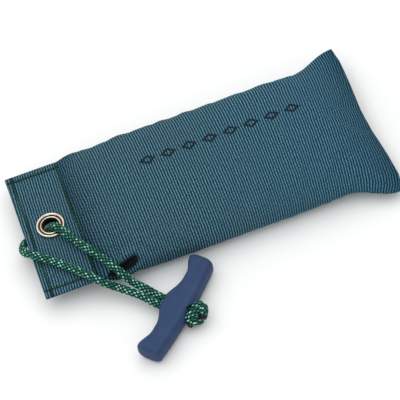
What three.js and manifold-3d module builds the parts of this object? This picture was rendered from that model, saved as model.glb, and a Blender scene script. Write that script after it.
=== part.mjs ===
// A canvas training dummy for gundogs: a stuffed bag with a flat tab, an eyelet, a throw cord and a toggle.
// Millimetres. X runs along the bag from its tab to its end seam, Y across it, Z up, and Z = 0 is the
// surface it rests on. The origin is under the middle of the bag.
import * as THREE from "three";
import { mergeVertices } from "three/addons/utils/BufferGeometryUtils.js";
import Module from "manifold-3d";

const { clamp, lerp, smoothstep } = THREE.MathUtils;

const touchGap = 0.3; // between two pieces that touch

// Canvas bag
const dummyLength = 280;
const flatWidth = 143; // of the empty bag, and of its end seam
const canvasThickness = 1.4;
const stuffedRise = 24; // of the upper panel over the side seams
const stuffedDrop = 24; // of the lower panel under them, before the floor flattens it
const sideSeamHeight = 13.5;
const endSeamHeight = 13;
const endSeamTilt = 4; // how far its far corner stands up and its near corner droops
// How far the end seam stands out of its line, at shares of its half width from the near ear to the far one.
const endSeamWave = [[-1, -3], [-0.93, 0.2], [-0.8, 1.8], [-0.55, 1], [-0.2, -1.2], [0.1, -1.6], [0.5, 0.4], [0.8, 1.2], [1, 0]];
const endShoulder = 42; // over which the bag narrows down to its end seam
const closingShoulder = 32; // over which it narrows down to the tab
const bagRoundness = 2.2; // exponent of the bag's cross-section
const cornerFlatness = 0.55; // how much later the bag fills out at its side seams than in its middle
const girthShare = 2.75; // of the thickness squared that a stuffed bag loses in width
const pinchDepth = 0.6; // share of the bag's height lost where the cord crosses its near shoulder
const pinchRadius = 17;
const pinchFromSeam = 11; // along the bag
const pinchFromSide = 6; // across it, from the tab's near edge

// Tab
const tabLength = 42;
const tabWidth = 116;
const tabHeight = 15.5; // of its middle plane
const tabSquareness = 9;
const hemInset = 5.6; // of the top stitching from the tab's edges

// Inside the bag
const linerThickness = 0.4;
const linerMargin = 9; // of the liner from the seams at both ends
const fillMargin = 3; // of the filling from the liner's ends
const fillGap = 2.2; // between the liner and the granulate, which has settled a little

// Threads
const threadDiameter = 0.7;
const threadEndGap = 1.5; // between two rows of stitching that meet at a corner
const seamThreadGap = 0.5; // on each side of the side seams' threads
const sideSeamMargin = 26; // of the side seams' threads from the ends of the bag

// Eyelet
const eyeletBore = 13.4;
const eyeletFlange = 22;
const eyeletWall = 0.7;
const eyeletCrown = 2.1; // height of the rolled flange over the tab
const eyeletFromEdge = 22;
const eyeletAcross = 1.5; // from the middle of the tab, away from the toggle
const washerThickness = 1;
const clinchReach = 2.2; // of the barrel's turned end over the washer
const clinchThickness = 0.7;

// Throw cord
const cordDiameter = 6;
const cordSteps = 78;

// Toggle, which lies beside the bag with its bore along the doubled cord
const toggleLength = 87;
const toggleThickness = 17.4;
const toggleCordSide = 5.9; // from the bore's centre to the arm's edge on the tab's side
const toggleHubBump = 6.1; // added there at the hub
const toggleHubSpread = 21; // half the length of that bump
const toggleEndFlare = 4.6; // added there at the ends of the arms
const toggleFlareStart = 27;
const toggleFarSide = 11.4; // from the bore's centre to the bowed edge on the knot's side
const toggleBow = 2.6;
const toggleSquareness = 3;
const toggleEndRadius = 3;
const toggleBoreClearance = 0.65; // round the two strands side by side
const toggleFromEdge = 87.8; // of the bore's middle from the tab's outer edge
const toggleFromSide = 27.9; // and from the empty bag's near edge
const cordHeading = -47; // degrees, from the tab towards the knot

// Stopper knot
const knotLength = 13;
const knotWidth = 18;
const knotLobe = 0.09;
const toggleToKnot = 0.8;

const outerEdgeX = -dummyLength / 2;
const endSeamX = dummyLength / 2;
const closingSeamX = outerEdgeX + tabLength;
const eyeletX = outerEdgeX + eyeletFromEdge;
const tabHalfThickness = canvasThickness + touchGap;
const threadRadius = threadDiameter / 2;
const strandSpacing = cordDiameter + touchGap;

// The hand-laid route of the throw cord: from the knot through the toggle, over the tab and down the
// eyelet, out under the tab, up round its outer edge, across it again and back through the toggle.
// Its X is measured from the tab's outer edge.
const laidRoute = [
  [98.1, -105.8, 8.7],
  [90.1, -97.3, 8.7],
  [82, -88.4, 8.8],
  [76.7, -82.4, 9.6],
  [72.2, -77, 11.2],
  [63.8, -68.2, 14.6],
  [59.1, -62.4, 20.2],
  [54.4, -55.2, 23.1],
  [49.4, -46.4, 24],
  [44.2, -37.4, 23.8],
  [39, -28.6, 23.2],
  [33.8, -19.6, 22.8],
  [29.6, -11.8, 23.6],
  [26.2, -5.7, 23.5],
  [23.4, -0.7, 19],
  [22.2, 1.9, 12.8],
  [18.6, 4.4, 7.4],
  [13, 5.8, 5],
  [7.2, 5.8, 5],
  [2, 3.8, 6],
  [-1.9, -0.8, 9.2],
  [-3.6, -7, 13.4],
  [-3.2, -13.8, 17.9],
  [1.1, -20.2, 21.4],
  [8.2, -26.4, 21.7],
  [16, -33.4, 21.2],
  [23.1, -41, 21.2],
  [29.8, -48.2, 21.6],
  [35.8, -54.9, 21.5],
  [41.2, -60.5, 19.6],
  [47.5, -65, 15.8],
  [54.2, -69, 12.2],
  [67.6, -81.4, 10.6],
  [72, -86.8, 9.5],
  [77.3, -92.7, 8.8],
  [85.5, -101.5, 8.7],
  [93.5, -110.1, 8.7],
];

// Past the tab's near edge the cord goes with the toggle, which keeps its distance from the bag.
const togglePlace = [outerEdgeX + toggleFromEdge, -flatWidth / 2 - toggleFromSide];
const toggleShift = togglePlace[1] - (laidRoute[1][1] + laidRoute.at(-2)[1]) / 2;
const cordRoute = laidRoute.map(([x, y, z]) => {
  const withToggle = smoothstep(-y, tabWidth / 2 - hemInset, tabWidth / 2 + toggleFromSide);
  return [outerEdgeX + x, y + toggleShift * withToggle, z];
});

const finish = {
  canvas: new THREE.MeshStandardMaterial({ color: 0x3c616f, roughness: 0.95 }),
  liner: new THREE.MeshStandardMaterial({ color: 0xd7dbd4, roughness: 0.5 }),
  fill: new THREE.MeshStandardMaterial({ color: 0xb9a68a, roughness: 0.9 }),
  thread: new THREE.MeshStandardMaterial({ color: 0x16341f, roughness: 0.7 }),
  eyelet: new THREE.MeshStandardMaterial({ color: 0xc9bda4, roughness: 0.3, metalness: 1 }),
  cord: new THREE.MeshStandardMaterial({ color: 0x0d4a3e, roughness: 0.8 }),
  toggle: new THREE.MeshStandardMaterial({ color: 0x415574, roughness: 0.5 }),
};

const wasm = await Module();
wasm.setup();

function solidOf(geometry) {
  const bare = geometry.clone();
  bare.deleteAttribute("normal");
  bare.deleteAttribute("uv");
  const merged = mergeVertices(bare, 1e-4);
  const mesh = new wasm.Mesh({
    numProp: 3,
    vertProperties: merged.attributes.position.array,
    triVerts: new Uint32Array(merged.index.array),
  });
  return new wasm.Manifold(mesh);
}

function cut(geometry, tool) {
  const { vertProperties, triVerts } = solidOf(geometry).subtract(solidOf(tool)).getMesh();
  const made = new THREE.BufferGeometry();
  made.setAttribute("position", new THREE.BufferAttribute(vertProperties, 3));
  made.setIndex(new THREE.BufferAttribute(triVerts, 1));
  return made;
}

// Moves every vertex of a geometry to the place that a function gives it.
function reshape(geometry, place) {
  const position = geometry.attributes.position;
  for (let i = 0; i < position.count; i++) {
    const [x, y, z] = place(position.getX(i), position.getY(i), position.getZ(i));
    position.setXYZ(i, x, y, z);
  }
  return geometry;
}

function named(name, geometry, material) {
  geometry.computeVertexNormals();
  const mesh = new THREE.Mesh(geometry, material);
  mesh.name = name;
  return mesh;
}

// How full a pillow between two ends is, from 0 at its seams to 1, and later so near its side seams.
function fullness(x, across, start, end) {
  const late = 1 - cornerFlatness * across ** 4;
  const rising = (share) => Math.sin((Math.PI / 2) * clamp(share * late, 0, 1));
  return rising((x - start) / closingShoulder) * rising((end - x) / endShoulder);
}

function halfWidth(x) {
  const thickness = stuffedRise * fullness(x, 0, closingSeamX, endSeamX);
  const stuffed = Math.sqrt((flatWidth / 2) ** 2 - girthShare * thickness ** 2);
  return lerp(tabWidth / 2, stuffed, smoothstep(x, closingSeamX, closingSeamX + closingShoulder));
}

// Height of the plane in which the two panels meet.
function seamHeight(x, across) {
  const opened = smoothstep(x, closingSeamX, closingSeamX + closingShoulder);
  const ended = smoothstep(x, endSeamX - endShoulder, endSeamX);
  return lerp(lerp(tabHeight, sideSeamHeight, opened), endSeamHeight + endSeamTilt * across, ended);
}

function endSeamOffset(across) {
  const next = Math.max(1, endSeamWave.findIndex(([share]) => share >= across));
  const [[fromShare, from], [toShare, to]] = endSeamWave.slice(next - 1, next + 1);
  return lerp(from, to, smoothstep(across, fromShare, toShare));
}

// A point of the bag's upper (side 1) or lower (side -1) surface, or of one laid inset inside it.
// across runs from -1 to 1 between the side seams, and ends says where that layer is closed off.
function bagPoint(x, across, side, inset, ends) {
  const square = lerp(tabSquareness, bagRoundness, smoothstep(x, closingSeamX, closingSeamX + 20));
  const arch = (1 - Math.abs(across) ** square) ** (1 / square);
  const y = (halfWidth(x) - inset) * across;
  const fromPinch = Math.hypot(x - closingSeamX - pinchFromSeam, y + tabWidth / 2 - pinchFromSide);
  const pinched = 1 - pinchDepth * Math.exp(-((fromPinch / pinchRadius) ** 2));
  const loft = (side > 0 ? stuffedRise * pinched : stuffedDrop) * fullness(x, across, ends.start, ends.end);
  const depth = Math.max(tabHalfThickness - touchGap / 2 + loft - inset, ends.least ?? 0);
  const towardsEnd = smoothstep(x, endSeamX - endShoulder, endSeamX);
  const z = seamHeight(x, across) + side * (touchGap / 2 + depth * arch);
  return [x + endSeamOffset(across) * towardsEnd, y, side > 0 ? z : Math.max(z, inset)];
}

// One sheet between two insets of the same side, or the whole pillow when both sides are given.
function pillowSheet({ stations, widthSteps, ends, upper, lower }) {
  const box = new THREE.BoxGeometry(1, 1, 1, stations.length - 1, widthSteps, 1);
  box.translate(0.5, 0.5, 0.5);
  return reshape(box, (u, v, w) => {
    const x = stations[Math.round(u * (stations.length - 1))];
    const across = clamp(-Math.cos(Math.PI * v), -1, 1);
    const face = w > 0.5 ? upper : lower;
    return bagPoint(x, across, face.side, face.inset, { ...ends, least: face.least });
  });
}

// Stations that crowd towards both ends, where the bag closes down.
function crowdedStations(start, end, steps) {
  const at = (i) => start + ((end - start) * (1 - Math.cos((Math.PI * i) / steps))) / 2;
  return Array.from({ length: steps + 1 }, (_, i) => at(i));
}

function canvasPanel(side) {
  const tabSteps = 4;
  const tabStations = Array.from({ length: tabSteps }, (_, i) => outerEdgeX + (tabLength * i) / tabSteps);
  const outside = { side, inset: 0 };
  const inside = { side, inset: canvasThickness };
  const panel = pillowSheet({
    stations: [...tabStations, ...crowdedStations(closingSeamX, endSeamX, 24)],
    widthSteps: 18,
    ends: { start: closingSeamX, end: endSeamX },
    upper: side > 0 ? outside : inside,
    lower: side > 0 ? inside : outside,
  });
  const punch = new THREE.CylinderGeometry(punchRadius, punchRadius, 4 * tabHalfThickness, 32);
  punch.rotateX(Math.PI / 2);
  punch.translate(eyeletX, eyeletAcross, tabHeight);
  return cut(panel, punch);
}

const linerInset = canvasThickness + threadDiameter + 2 * seamThreadGap;
const linerEnds = { start: closingSeamX + linerMargin, end: endSeamX - linerMargin };
const closedFill = 0.3; // half the thickness that the filling keeps at its own ends
const closedLiner = closedFill + touchGap;

function linerSheet(side) {
  const outside = { side, inset: linerInset, least: closedLiner + linerThickness };
  const inside = { side, inset: linerInset + linerThickness, least: closedLiner };
  return pillowSheet({
    stations: crowdedStations(linerEnds.start, linerEnds.end, 18),
    widthSteps: 12,
    ends: linerEnds,
    upper: side > 0 ? outside : inside,
    lower: side > 0 ? inside : outside,
  });
}

function granulateFill() {
  const inset = linerInset + linerThickness + fillGap;
  const ends = { start: linerEnds.start + fillMargin, end: linerEnds.end - fillMargin };
  return pillowSheet({
    stations: crowdedStations(ends.start, ends.end, 18),
    widthSteps: 12,
    ends,
    upper: { side: 1, inset, least: closedFill },
    lower: { side: -1, inset, least: closedFill },
  });
}

function tubeAlong(points, diameter, sides, steps) {
  const section = new THREE.Shape();
  for (let i = 0; i < sides; i++) {
    const angle = (2 * Math.PI * i) / sides;
    const move = i ? "lineTo" : "moveTo";
    section[move]((diameter / 2) * Math.cos(angle), (diameter / 2) * Math.sin(angle));
  }
  section.closePath();
  const path = new THREE.CatmullRomCurve3(points.map((p) => new THREE.Vector3(...p)), false, "centripetal");
  return new THREE.ExtrudeGeometry(section, { steps, bevelEnabled: false, extrudePath: path });
}

// A thread laid on one face of the tab through a row of [x, y] points.
function surfaceThread(row, side) {
  const lift = tabHalfThickness + touchGap + threadRadius;
  return tubeAlong(row.map(([x, y]) => [x, y, tabHeight + side * lift]), threadDiameter, 6, 8);
}

function sideSeamThread(side) {
  const start = closingSeamX + sideSeamMargin;
  const end = endSeamX - sideSeamMargin;
  const wall = (canvasThickness + linerInset) / 2;
  const points = crowdedStations(start, end, 16).map((x) => {
    return [x, side * (halfWidth(x) - wall), seamHeight(x, side)];
  });
  return tubeAlong(points, threadDiameter, 6, 28);
}

function endSeamThread() {
  const x = endSeamX - linerMargin / 2;
  const reach = 0.8; // of the half width, which keeps the thread's ends inside the pointed corners
  const points = [-1, -0.75, -0.5, -0.25, 0, 0.25, 0.5, 0.75, 1].map((share) => {
    const across = share * reach;
    const [px, py] = bagPoint(x, across, 1, linerInset, { start: closingSeamX, end: endSeamX });
    return [px, py, seamHeight(x, across)];
  });
  return tubeAlong(points, threadDiameter, 6, 12);
}

const boreRadius = eyeletBore / 2;
const barrelRadius = boreRadius + eyeletWall;
const punchRadius = barrelRadius + touchGap;
const flangeRadius = eyeletFlange / 2;
const washerBottom = -(tabHalfThickness + touchGap + washerThickness);

// Turns an [r, z] outline that closes on itself about the eyelet's axis.
function eyeletRing(outline) {
  const profile = [...outline, outline[0]].map(([r, z]) => new THREE.Vector2(r, z));
  const ring = new THREE.LatheGeometry(profile, 32);
  ring.rotateX(Math.PI / 2);
  ring.translate(eyeletX, eyeletAcross, tabHeight);
  return ring;
}

function eyeletGrommet() {
  const seat = tabHalfThickness + touchGap;
  const clinchTop = washerBottom - touchGap;
  const crownPoints = 9;
  const middle = (boreRadius + flangeRadius) / 2;
  const crown = Array.from({ length: crownPoints }, (_, i) => {
    const angle = (Math.PI * i) / (crownPoints - 1);
    return [middle + (flangeRadius - middle) * Math.cos(angle), seat + 0.3 + eyeletCrown * Math.sin(angle)];
  });
  return eyeletRing([
    [barrelRadius, clinchTop],
    [barrelRadius + clinchReach, clinchTop],
    [barrelRadius + clinchReach, clinchTop - clinchThickness / 2],
    [barrelRadius + clinchReach / 2, clinchTop - clinchThickness],
    [boreRadius + 0.3, clinchTop - clinchThickness],
    [boreRadius, clinchTop],
    ...crown.reverse(),
    [flangeRadius, seat],
    [barrelRadius, seat],
  ].reverse());
}

function eyeletWasher() {
  const top = -(tabHalfThickness + touchGap);
  return eyeletRing([
    [punchRadius, washerBottom],
    [flangeRadius - washerThickness / 2, washerBottom],
    [flangeRadius, (top + washerBottom) / 2],
    [flangeRadius - washerThickness / 4, top],
    [punchRadius, top],
  ]);
}

// In the toggle's own frame X is the bore, towards the knot, Y runs along the arms and Z is up.
function toggleBar() {
  const half = toggleLength / 2;
  const bar = new THREE.CylinderGeometry(1, 1, 2, 28, 30);
  const boreRadiusHere = (cordDiameter + strandSpacing) / 2 + toggleBoreClearance;
  reshape(bar, (x, y, z) => {
    const along = half * Math.sin((y * Math.PI) / 2);
    const reach = Math.abs(along);
    const hub = reach < toggleHubSpread ? (1 + Math.cos((Math.PI * reach) / toggleHubSpread)) / 2 : 0;
    const flare = smoothstep(reach, toggleFlareStart, half - toggleEndRadius);
    const cordSide = toggleCordSide + toggleHubBump * hub + toggleEndFlare * flare;
    const farSide = toggleFarSide - toggleBow * (along / half) ** 2;
    const intoEnd = clamp(1 - (half - reach) / toggleEndRadius, 0, 1);
    const rounding = toggleEndRadius * (1 - Math.sqrt(1 - intoEnd ** 2)) * 0.9;
    const size = (Math.abs(x) ** toggleSquareness + Math.abs(z) ** toggleSquareness) ** (1 / toggleSquareness);
    const scale = size > 0 ? Math.hypot(x, z) / size : 0;
    const width = (x < 0 ? cordSide : farSide) - rounding;
    return [x * scale * width, along, z * scale * (toggleThickness / 2 - rounding)];
  });
  const drill = new THREE.CylinderGeometry(boreRadiusHere, boreRadiusHere, 4 * toggleFarSide, 36);
  drill.rotateZ(Math.PI / 2);
  return cut(bar, drill);
}

function stopperKnot() {
  const knot = new THREE.SphereGeometry(1, 22, 14);
  knot.rotateZ(Math.PI / 2);
  return reshape(knot, (x, y, z) => {
    const turn = Math.atan2(z, y);
    const lobe = 1 + knotLobe * (Math.cos(3 * turn + 3 * x) - 1) * Math.hypot(y, z);
    return [(x * knotLength) / 2, (y * lobe * knotWidth) / 2, (z * lobe * toggleThickness) / 2];
  });
}

const dummy = new THREE.Group();

const bag = new THREE.Group();
bag.add(
  named("top_canvas_panel", canvasPanel(1), finish.canvas),
  named("bottom_canvas_panel", canvasPanel(-1), finish.canvas),
  named("liner_top_sheet", linerSheet(1), finish.liner),
  named("liner_bottom_sheet", linerSheet(-1), finish.liner),
  named("granulate_fill", granulateFill(), finish.fill),
  named("near_side_seam_thread", sideSeamThread(-1), finish.thread),
  named("far_side_seam_thread", sideSeamThread(1), finish.thread),
  named("end_seam_thread", endSeamThread(), finish.thread),
);
dummy.add(bag);

const hemX = outerEdgeX + hemInset;
const hemY = tabWidth / 2 - hemInset;
const sideRowStart = hemX + threadDiameter + threadEndGap;
const closingRowX = closingSeamX - threadDiameter; // clear of where the bag begins to rise
const sideRowEnd = closingRowX - threadDiameter - threadEndGap;
const stitchRows = {
  closing_seam: [[closingRowX, -tabWidth / 2 + 2], [closingRowX, tabWidth / 2 - 2]],
  mouth_hem: [[hemX, -hemY], [hemX, hemY]],
  tab_near_edge: [[sideRowStart, -hemY], [sideRowEnd, -hemY]],
  tab_far_edge: [[sideRowStart, hemY], [sideRowEnd, hemY]],
};
for (const [place, row] of Object.entries(stitchRows)) {
  dummy.add(named(place + "_needle_thread", surfaceThread(row, 1), finish.thread));
  dummy.add(named(place + "_bobbin_thread", surfaceThread(row, -1), finish.thread));
}

dummy.add(named("eyelet_grommet", eyeletGrommet(), finish.eyelet));
dummy.add(named("eyelet_washer", eyeletWasher(), finish.eyelet));
dummy.add(named("throw_cord", tubeAlong(cordRoute, cordDiameter, 10, cordSteps), finish.cord));

const hand = new THREE.Group();
hand.position.set(...togglePlace, toggleThickness / 2);
hand.rotation.z = THREE.MathUtils.degToRad(cordHeading);
const knot = named("stopper_knot", stopperKnot(), finish.cord);
knot.position.x = toggleFarSide + toggleToKnot + knotLength / 2;
hand.add(named("toggle", toggleBar(), finish.toggle), knot);
dummy.add(hand);

export default dummy;
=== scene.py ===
import bpy
import math
import numpy as np
from mathutils import Matrix, Vector, noise


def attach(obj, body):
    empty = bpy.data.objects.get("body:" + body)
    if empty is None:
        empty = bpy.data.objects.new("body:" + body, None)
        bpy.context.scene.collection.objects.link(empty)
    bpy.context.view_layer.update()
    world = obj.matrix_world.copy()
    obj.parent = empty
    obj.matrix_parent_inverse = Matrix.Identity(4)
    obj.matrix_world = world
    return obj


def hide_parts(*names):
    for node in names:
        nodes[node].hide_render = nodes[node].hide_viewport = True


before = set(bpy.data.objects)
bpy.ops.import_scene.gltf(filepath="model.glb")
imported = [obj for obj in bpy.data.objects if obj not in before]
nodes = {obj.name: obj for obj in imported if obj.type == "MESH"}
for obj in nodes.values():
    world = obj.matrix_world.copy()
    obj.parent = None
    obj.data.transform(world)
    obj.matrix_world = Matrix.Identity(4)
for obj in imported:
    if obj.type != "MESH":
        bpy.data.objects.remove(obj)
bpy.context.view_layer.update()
mm = 0.001
print("frame loaded")

# camera: above the dummy's near side, a little to the left of its middle
cameraView = dict(azimuth=-9.81, elevation=55.29, roll=11.83, distance=1.2067, lens=144.07,
                  target=(-0.0061, -0.0246, 0.020))


def makeCamera(view):
    azimuth, elevation, roll = (math.radians(view[k]) for k in ("azimuth", "elevation", "roll"))
    back = Vector((math.sin(azimuth) * math.cos(elevation), -math.cos(azimuth) * math.cos(elevation),
                   math.sin(elevation)))
    right = Vector((math.cos(azimuth), math.sin(azimuth), 0))
    up = back.cross(right)
    rolledRight = right * math.cos(roll) - up * math.sin(roll)
    rolledUp = right * math.sin(roll) + up * math.cos(roll)
    turned = Matrix((rolledRight, rolledUp, back)).transposed().to_4x4()
    data = bpy.data.cameras.new("camera")
    data.lens = view["lens"]
    data.sensor_width = 36
    camera = bpy.data.objects.new("camera", data)
    bpy.context.scene.collection.objects.link(camera)
    camera.matrix_world = Matrix.Translation(Vector(view["target"]) + back * view["distance"]) @ turned
    bpy.context.scene.camera = camera


makeCamera(cameraView)


def srgb(code, alpha=1.0):
    parts = [int(code[i:i + 2], 16) / 255 for i in (0, 2, 4)]
    return tuple(p / 12.92 if p <= 0.04045 else ((p + 0.055) / 1.055) ** 2.4 for p in parts) + (alpha,)


mathNode, mixNode, rangeNode = "ShaderNodeMath", "ShaderNodeMix", "ShaderNodeMapRange"
noiseNode, attributeNode, bumpNode = "ShaderNodeTexNoise", "ShaderNodeAttribute", "ShaderNodeBump"
placeNode, partsNode = "ShaderNodeTexCoord", "ShaderNodeSeparateXYZ"


def addNode(tree, kind, settings=None, inputs=None, out=0):
    # a socket among the inputs is linked, any other value is set, and one output is given back
    node = tree.nodes.new(kind)
    for key, value in (settings or {}).items():
        setattr(node, key, value)
    for key, value in (inputs or {}).items():
        if isinstance(value, bpy.types.NodeSocket):
            tree.links.new(value, node.inputs[key])
        else:
            node.inputs[key].default_value = value
    return node.outputs[out]


def newMaterial(name):
    material = bpy.data.materials.new(name)
    material.use_nodes = True
    tree = material.node_tree
    return material, tree, tree.nodes["Principled BSDF"]


# shaping helpers: an object's points are read and set in metres, and what shapes them works in millimetres
def smooth(value, low, high):
    t = np.clip((value - low) / (high - low), 0, 1)
    return t * t * (3 - 2 * t)


def noiseAt(points, size, seed=0.0):
    shift = Vector((seed * 13.1, seed * 7.7, seed * 3.3))
    return np.array([noise.noise(Vector(p) / size + shift) for p in points])


def onlyActive(obj):
    bpy.ops.object.select_all(action="DESELECT")
    obj.select_set(True)
    bpy.context.view_layer.objects.active = obj


def getPoints(obj):
    co = np.empty(len(obj.data.vertices) * 3)
    obj.data.vertices.foreach_get("co", co)
    return co.reshape(-1, 3)


def setPoints(obj, points):
    obj.data.vertices.foreach_set("co", np.asarray(points, float).ravel())
    obj.data.update()


def applyModifier(obj, kind, **settings):
    onlyActive(obj)
    modifier = obj.modifiers.new(kind.lower(), kind)
    for key, value in settings.items():
        setattr(modifier, key, value)
    bpy.ops.object.modifier_apply(modifier=modifier.name)


def dress(obj, material, body, smoothShade=True):
    obj.data.materials.clear()
    obj.data.materials.append(material)
    onlyActive(obj)
    if smoothShade:
        bpy.ops.object.shade_smooth()
    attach(obj, body)


# throw cord: a 6 mm round braid, laid along the same points as its solid, with its own length in metres
throwCord = dict(
    diameter=6.0, strands=6, stretch=1.25, relief=0.85, meanCrown=0.75, dullest=0.5, ringEvery=0.42,
    around=40, length=0.330, gap="000a08", yarn="075c4b", paintedGlint="229a80", shine="b8e6d8", melted="1f090d")
cordRoute = [
    (-41.9, -105.8, 8.7), (-49.9, -97.3, 8.7), (-58, -88.4, 8.8), (-63.3, -82.4, 9.6),
    (-67.8, -77, 11.2), (-76.2, -68.2, 14.6), (-80.9, -62.4, 20.2), (-85.6, -55.2, 23.1),
    (-90.6, -46.4, 24), (-95.8, -37.4, 23.8), (-101, -28.6, 23.2), (-106.2, -19.6, 22.8),
    (-110.4, -11.8, 23.6), (-113.8, -5.7, 23.5), (-116.6, -0.7, 19), (-117.8, 1.9, 12.8),
    (-121.4, 4.4, 7.4), (-127, 5.8, 5), (-132.8, 5.8, 5), (-138, 3.8, 6),
    (-141.9, -0.8, 9.2), (-143.6, -7, 13.4), (-143.2, -13.8, 17.9), (-138.9, -20.2, 21.4),
    (-131.8, -26.4, 21.7), (-124, -33.4, 21.2), (-116.9, -41, 21.2), (-110.2, -48.2, 21.6),
    (-104.2, -54.9, 21.5), (-98.8, -60.5, 19.6), (-92.5, -65, 15.8), (-85.8, -69, 12.2),
    (-72.4, -81.4, 10.6), (-68, -86.8, 9.5), (-62.7, -92.7, 8.8), (-54.5, -101.5, 8.7),
    (-46.5, -110.1, 8.7),
]


def cordLine(points, every):
    # centripetal curve through the points, then evenly spaced along its length
    pts = [np.array(p, float) for p in points]
    pts = [2 * pts[0] - pts[1]] + pts + [2 * pts[-1] - pts[-2]]
    fine = []
    for i in range(1, len(pts) - 2):
        p0, p1, p2, p3 = pts[i - 1:i + 3]
        d0, d1, d2 = (max(np.linalg.norm(b - a) ** 0.5, 1e-6) for a, b in ((p0, p1), (p1, p2), (p2, p3)))
        m1 = ((p1 - p0) / d0 - (p2 - p0) / (d0 + d1) + (p2 - p1) / d1) * d1
        m2 = ((p2 - p1) / d1 - (p3 - p1) / (d1 + d2) + (p3 - p2) / d2) * d1
        for t in np.arange(0, 1, 0.02):
            fine.append((2 * t**3 - 3 * t**2 + 1) * p1 + (t**3 - 2 * t**2 + t) * m1
                        + (3 * t**2 - 2 * t**3) * p2 + (t**3 - t**2) * m2)
    fine = np.array(fine + [pts[-2]])
    gone = np.concatenate([[0], np.cumsum(np.linalg.norm(np.diff(fine, axis=0), axis=1))])
    at = np.linspace(0, gone[-1], int(gone[-1] / every) + 1)
    return np.stack([np.interp(at, gone, fine[:, k]) for k in range(3)], 1)


def braidedTube(name, line, spec, endRounding=0.0):
    # rings of points round the line, raised where a strand of the braid passes over another
    step = np.linalg.norm(np.diff(line, axis=0), axis=1)
    along = np.concatenate([[0], np.cumsum(step)])
    tangent = np.gradient(line, axis=0)
    tangent /= np.linalg.norm(tangent, axis=1)[:, None]
    side = np.cross(tangent[0], (0, 0, 1.0))
    sides = []
    for t in tangent:
        side = side - t * side.dot(t)
        side /= np.linalg.norm(side)
        sides.append(side)
    sides = np.array(sides)
    ups = np.cross(tangent, sides)
    count = spec["around"]
    turn = np.arange(count) / count
    pitch = math.pi * spec["diameter"] / spec["strands"]
    s, t = np.meshgrid(along / (pitch * spec["stretch"]), turn * spec["strands"], indexing="ij")
    a, b = s + t, s - t
    onTop = (np.floor(a) + np.floor(b)) % 2 == 0
    across = np.where(onTop, a % 1, b % 1)
    length = np.where(onTop, b % 1, a % 1)
    crown = np.sin(np.pi * across) ** 0.7 * (0.3 + 0.7 * np.sin(np.pi * length) ** 0.7)
    # every crossing catches the light by its own amount
    shine = (np.sin(np.floor(a) * 12.9898 + np.floor(b) * 78.233) * 43758.5453) % 1
    # this marks where the material paints a highlight on each crossing
    fleck = crown * (spec["dullest"] + (1 - spec["dullest"]) * shine)
    sealed = 0 * crown
    if "sealed" in spec:
        sealed = 1 - smooth(along[-1] - along, *spec["sealed"])[:, None] + sealed
    crown = crown * (1 - sealed) + spec["meanCrown"] * sealed
    fleck = fleck * (1 - sealed)
    radius = spec["diameter"] / 2 + spec["relief"] * (crown - spec["meanCrown"])
    if endRounding:
        fromEnd = np.clip(np.minimum(along, along[-1] - along) / endRounding, 0, 1)
        radius = radius * np.sqrt(np.clip(1 - (1 - fromEnd) ** 2, 0.08, 1))[:, None]
    angle = 2 * np.pi * turn[None, :, None]
    outwards = np.cos(angle) * sides[:, None, :] + np.sin(angle) * ups[:, None, :]
    rings = line[:, None, :] + radius[..., None] * outwards
    rows = len(line)
    points = np.concatenate([rings.reshape(-1, 3), line[:1], line[-1:]]) * mm
    faces = []
    for i in range(rows - 1):
        for j in range(count):
            k = (j + 1) % count
            faces.append((i * count + j, i * count + k, (i + 1) * count + k, (i + 1) * count + j))
    last = rows * count
    for j in range(count):
        k = (j + 1) % count
        faces.append((last, k, j))
        faces.append((last + 1, (rows - 1) * count + j, (rows - 1) * count + k))
    mesh = bpy.data.meshes.new(name)
    mesh.from_pydata([tuple(p) for p in points], [], faces)
    for label, values in (("crown", crown), ("fleck", fleck), ("sealed", sealed)):
        values = np.concatenate([values.ravel(), values[0, :1], values[-1, :1]])
        mesh.attributes.new(label, "FLOAT", "POINT").data.foreach_set("value", values)
    obj = bpy.data.objects.new(name, mesh)
    bpy.context.scene.collection.objects.link(obj)
    onlyActive(obj)
    bpy.ops.object.mode_set(mode="EDIT")
    bpy.ops.mesh.select_all(action="SELECT")
    bpy.ops.mesh.normals_make_consistent(inside=False)
    bpy.ops.object.mode_set(mode="OBJECT")
    return obj


# braided polyester cord: dark green yarn with painted pale mint highlights wherever a strand comes to the top
# and painted near black shade between the strands, melted to a hard maroon bead at its cut ends
def braidedPolyester():
    t = throwCord
    material, tree, shader = newMaterial("braidedPolyesterCord")
    place = addNode(tree, placeNode, out="Object")
    fibre = addNode(tree, noiseNode, None, {"Vector": place, "Scale": 1400.0, "Detail": 3.0})
    colour = srgb(t["gap"])
    # painted shade: near black where the strands dip under; painted highlights in light green and pale mint
    # on the crossings; the melted ends keep their own maroon
    stages = (("crown", 0.44, 0.72, 1.0, t["yarn"]), ("fleck", 0.5, 0.72, 0.9, t["paintedGlint"]),
              ("fleck", 0.66, 0.84, 0.85, t["shine"]), ("sealed", 0.3, 0.7, 1.0, t["melted"]))
    for label, low, high, most, code in stages:
        share = addNode(tree, attributeNode, {"attribute_name": label}, out="Fac")
        share = addNode(tree, rangeNode, None, {0: share, 1: low, 2: high, 4: most})
        colour = addNode(tree, mixNode, {"data_type": "RGBA"}, {0: share, 6: colour, 7: srgb(code)}, 2)
    tree.links.new(colour, shader.inputs["Base Color"])
    shader.inputs["Roughness"].default_value = 0.6
    shader.inputs["Specular IOR Level"].default_value = 0.25
    bump = addNode(tree, bumpNode, None, {"Strength": 0.5, "Distance": 0.0001, "Height": fibre})
    tree.links.new(bump, shader.inputs["Normal"])
    return material


cordYarn = braidedPolyester()
line = cordLine(cordRoute, throwCord["ringEvery"])
cordPiece = braidedTube("throwCordBraid", line, throwCord)
dress(cordPiece, cordYarn, "bag")
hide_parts("throw_cord")
print("cord made")

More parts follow.
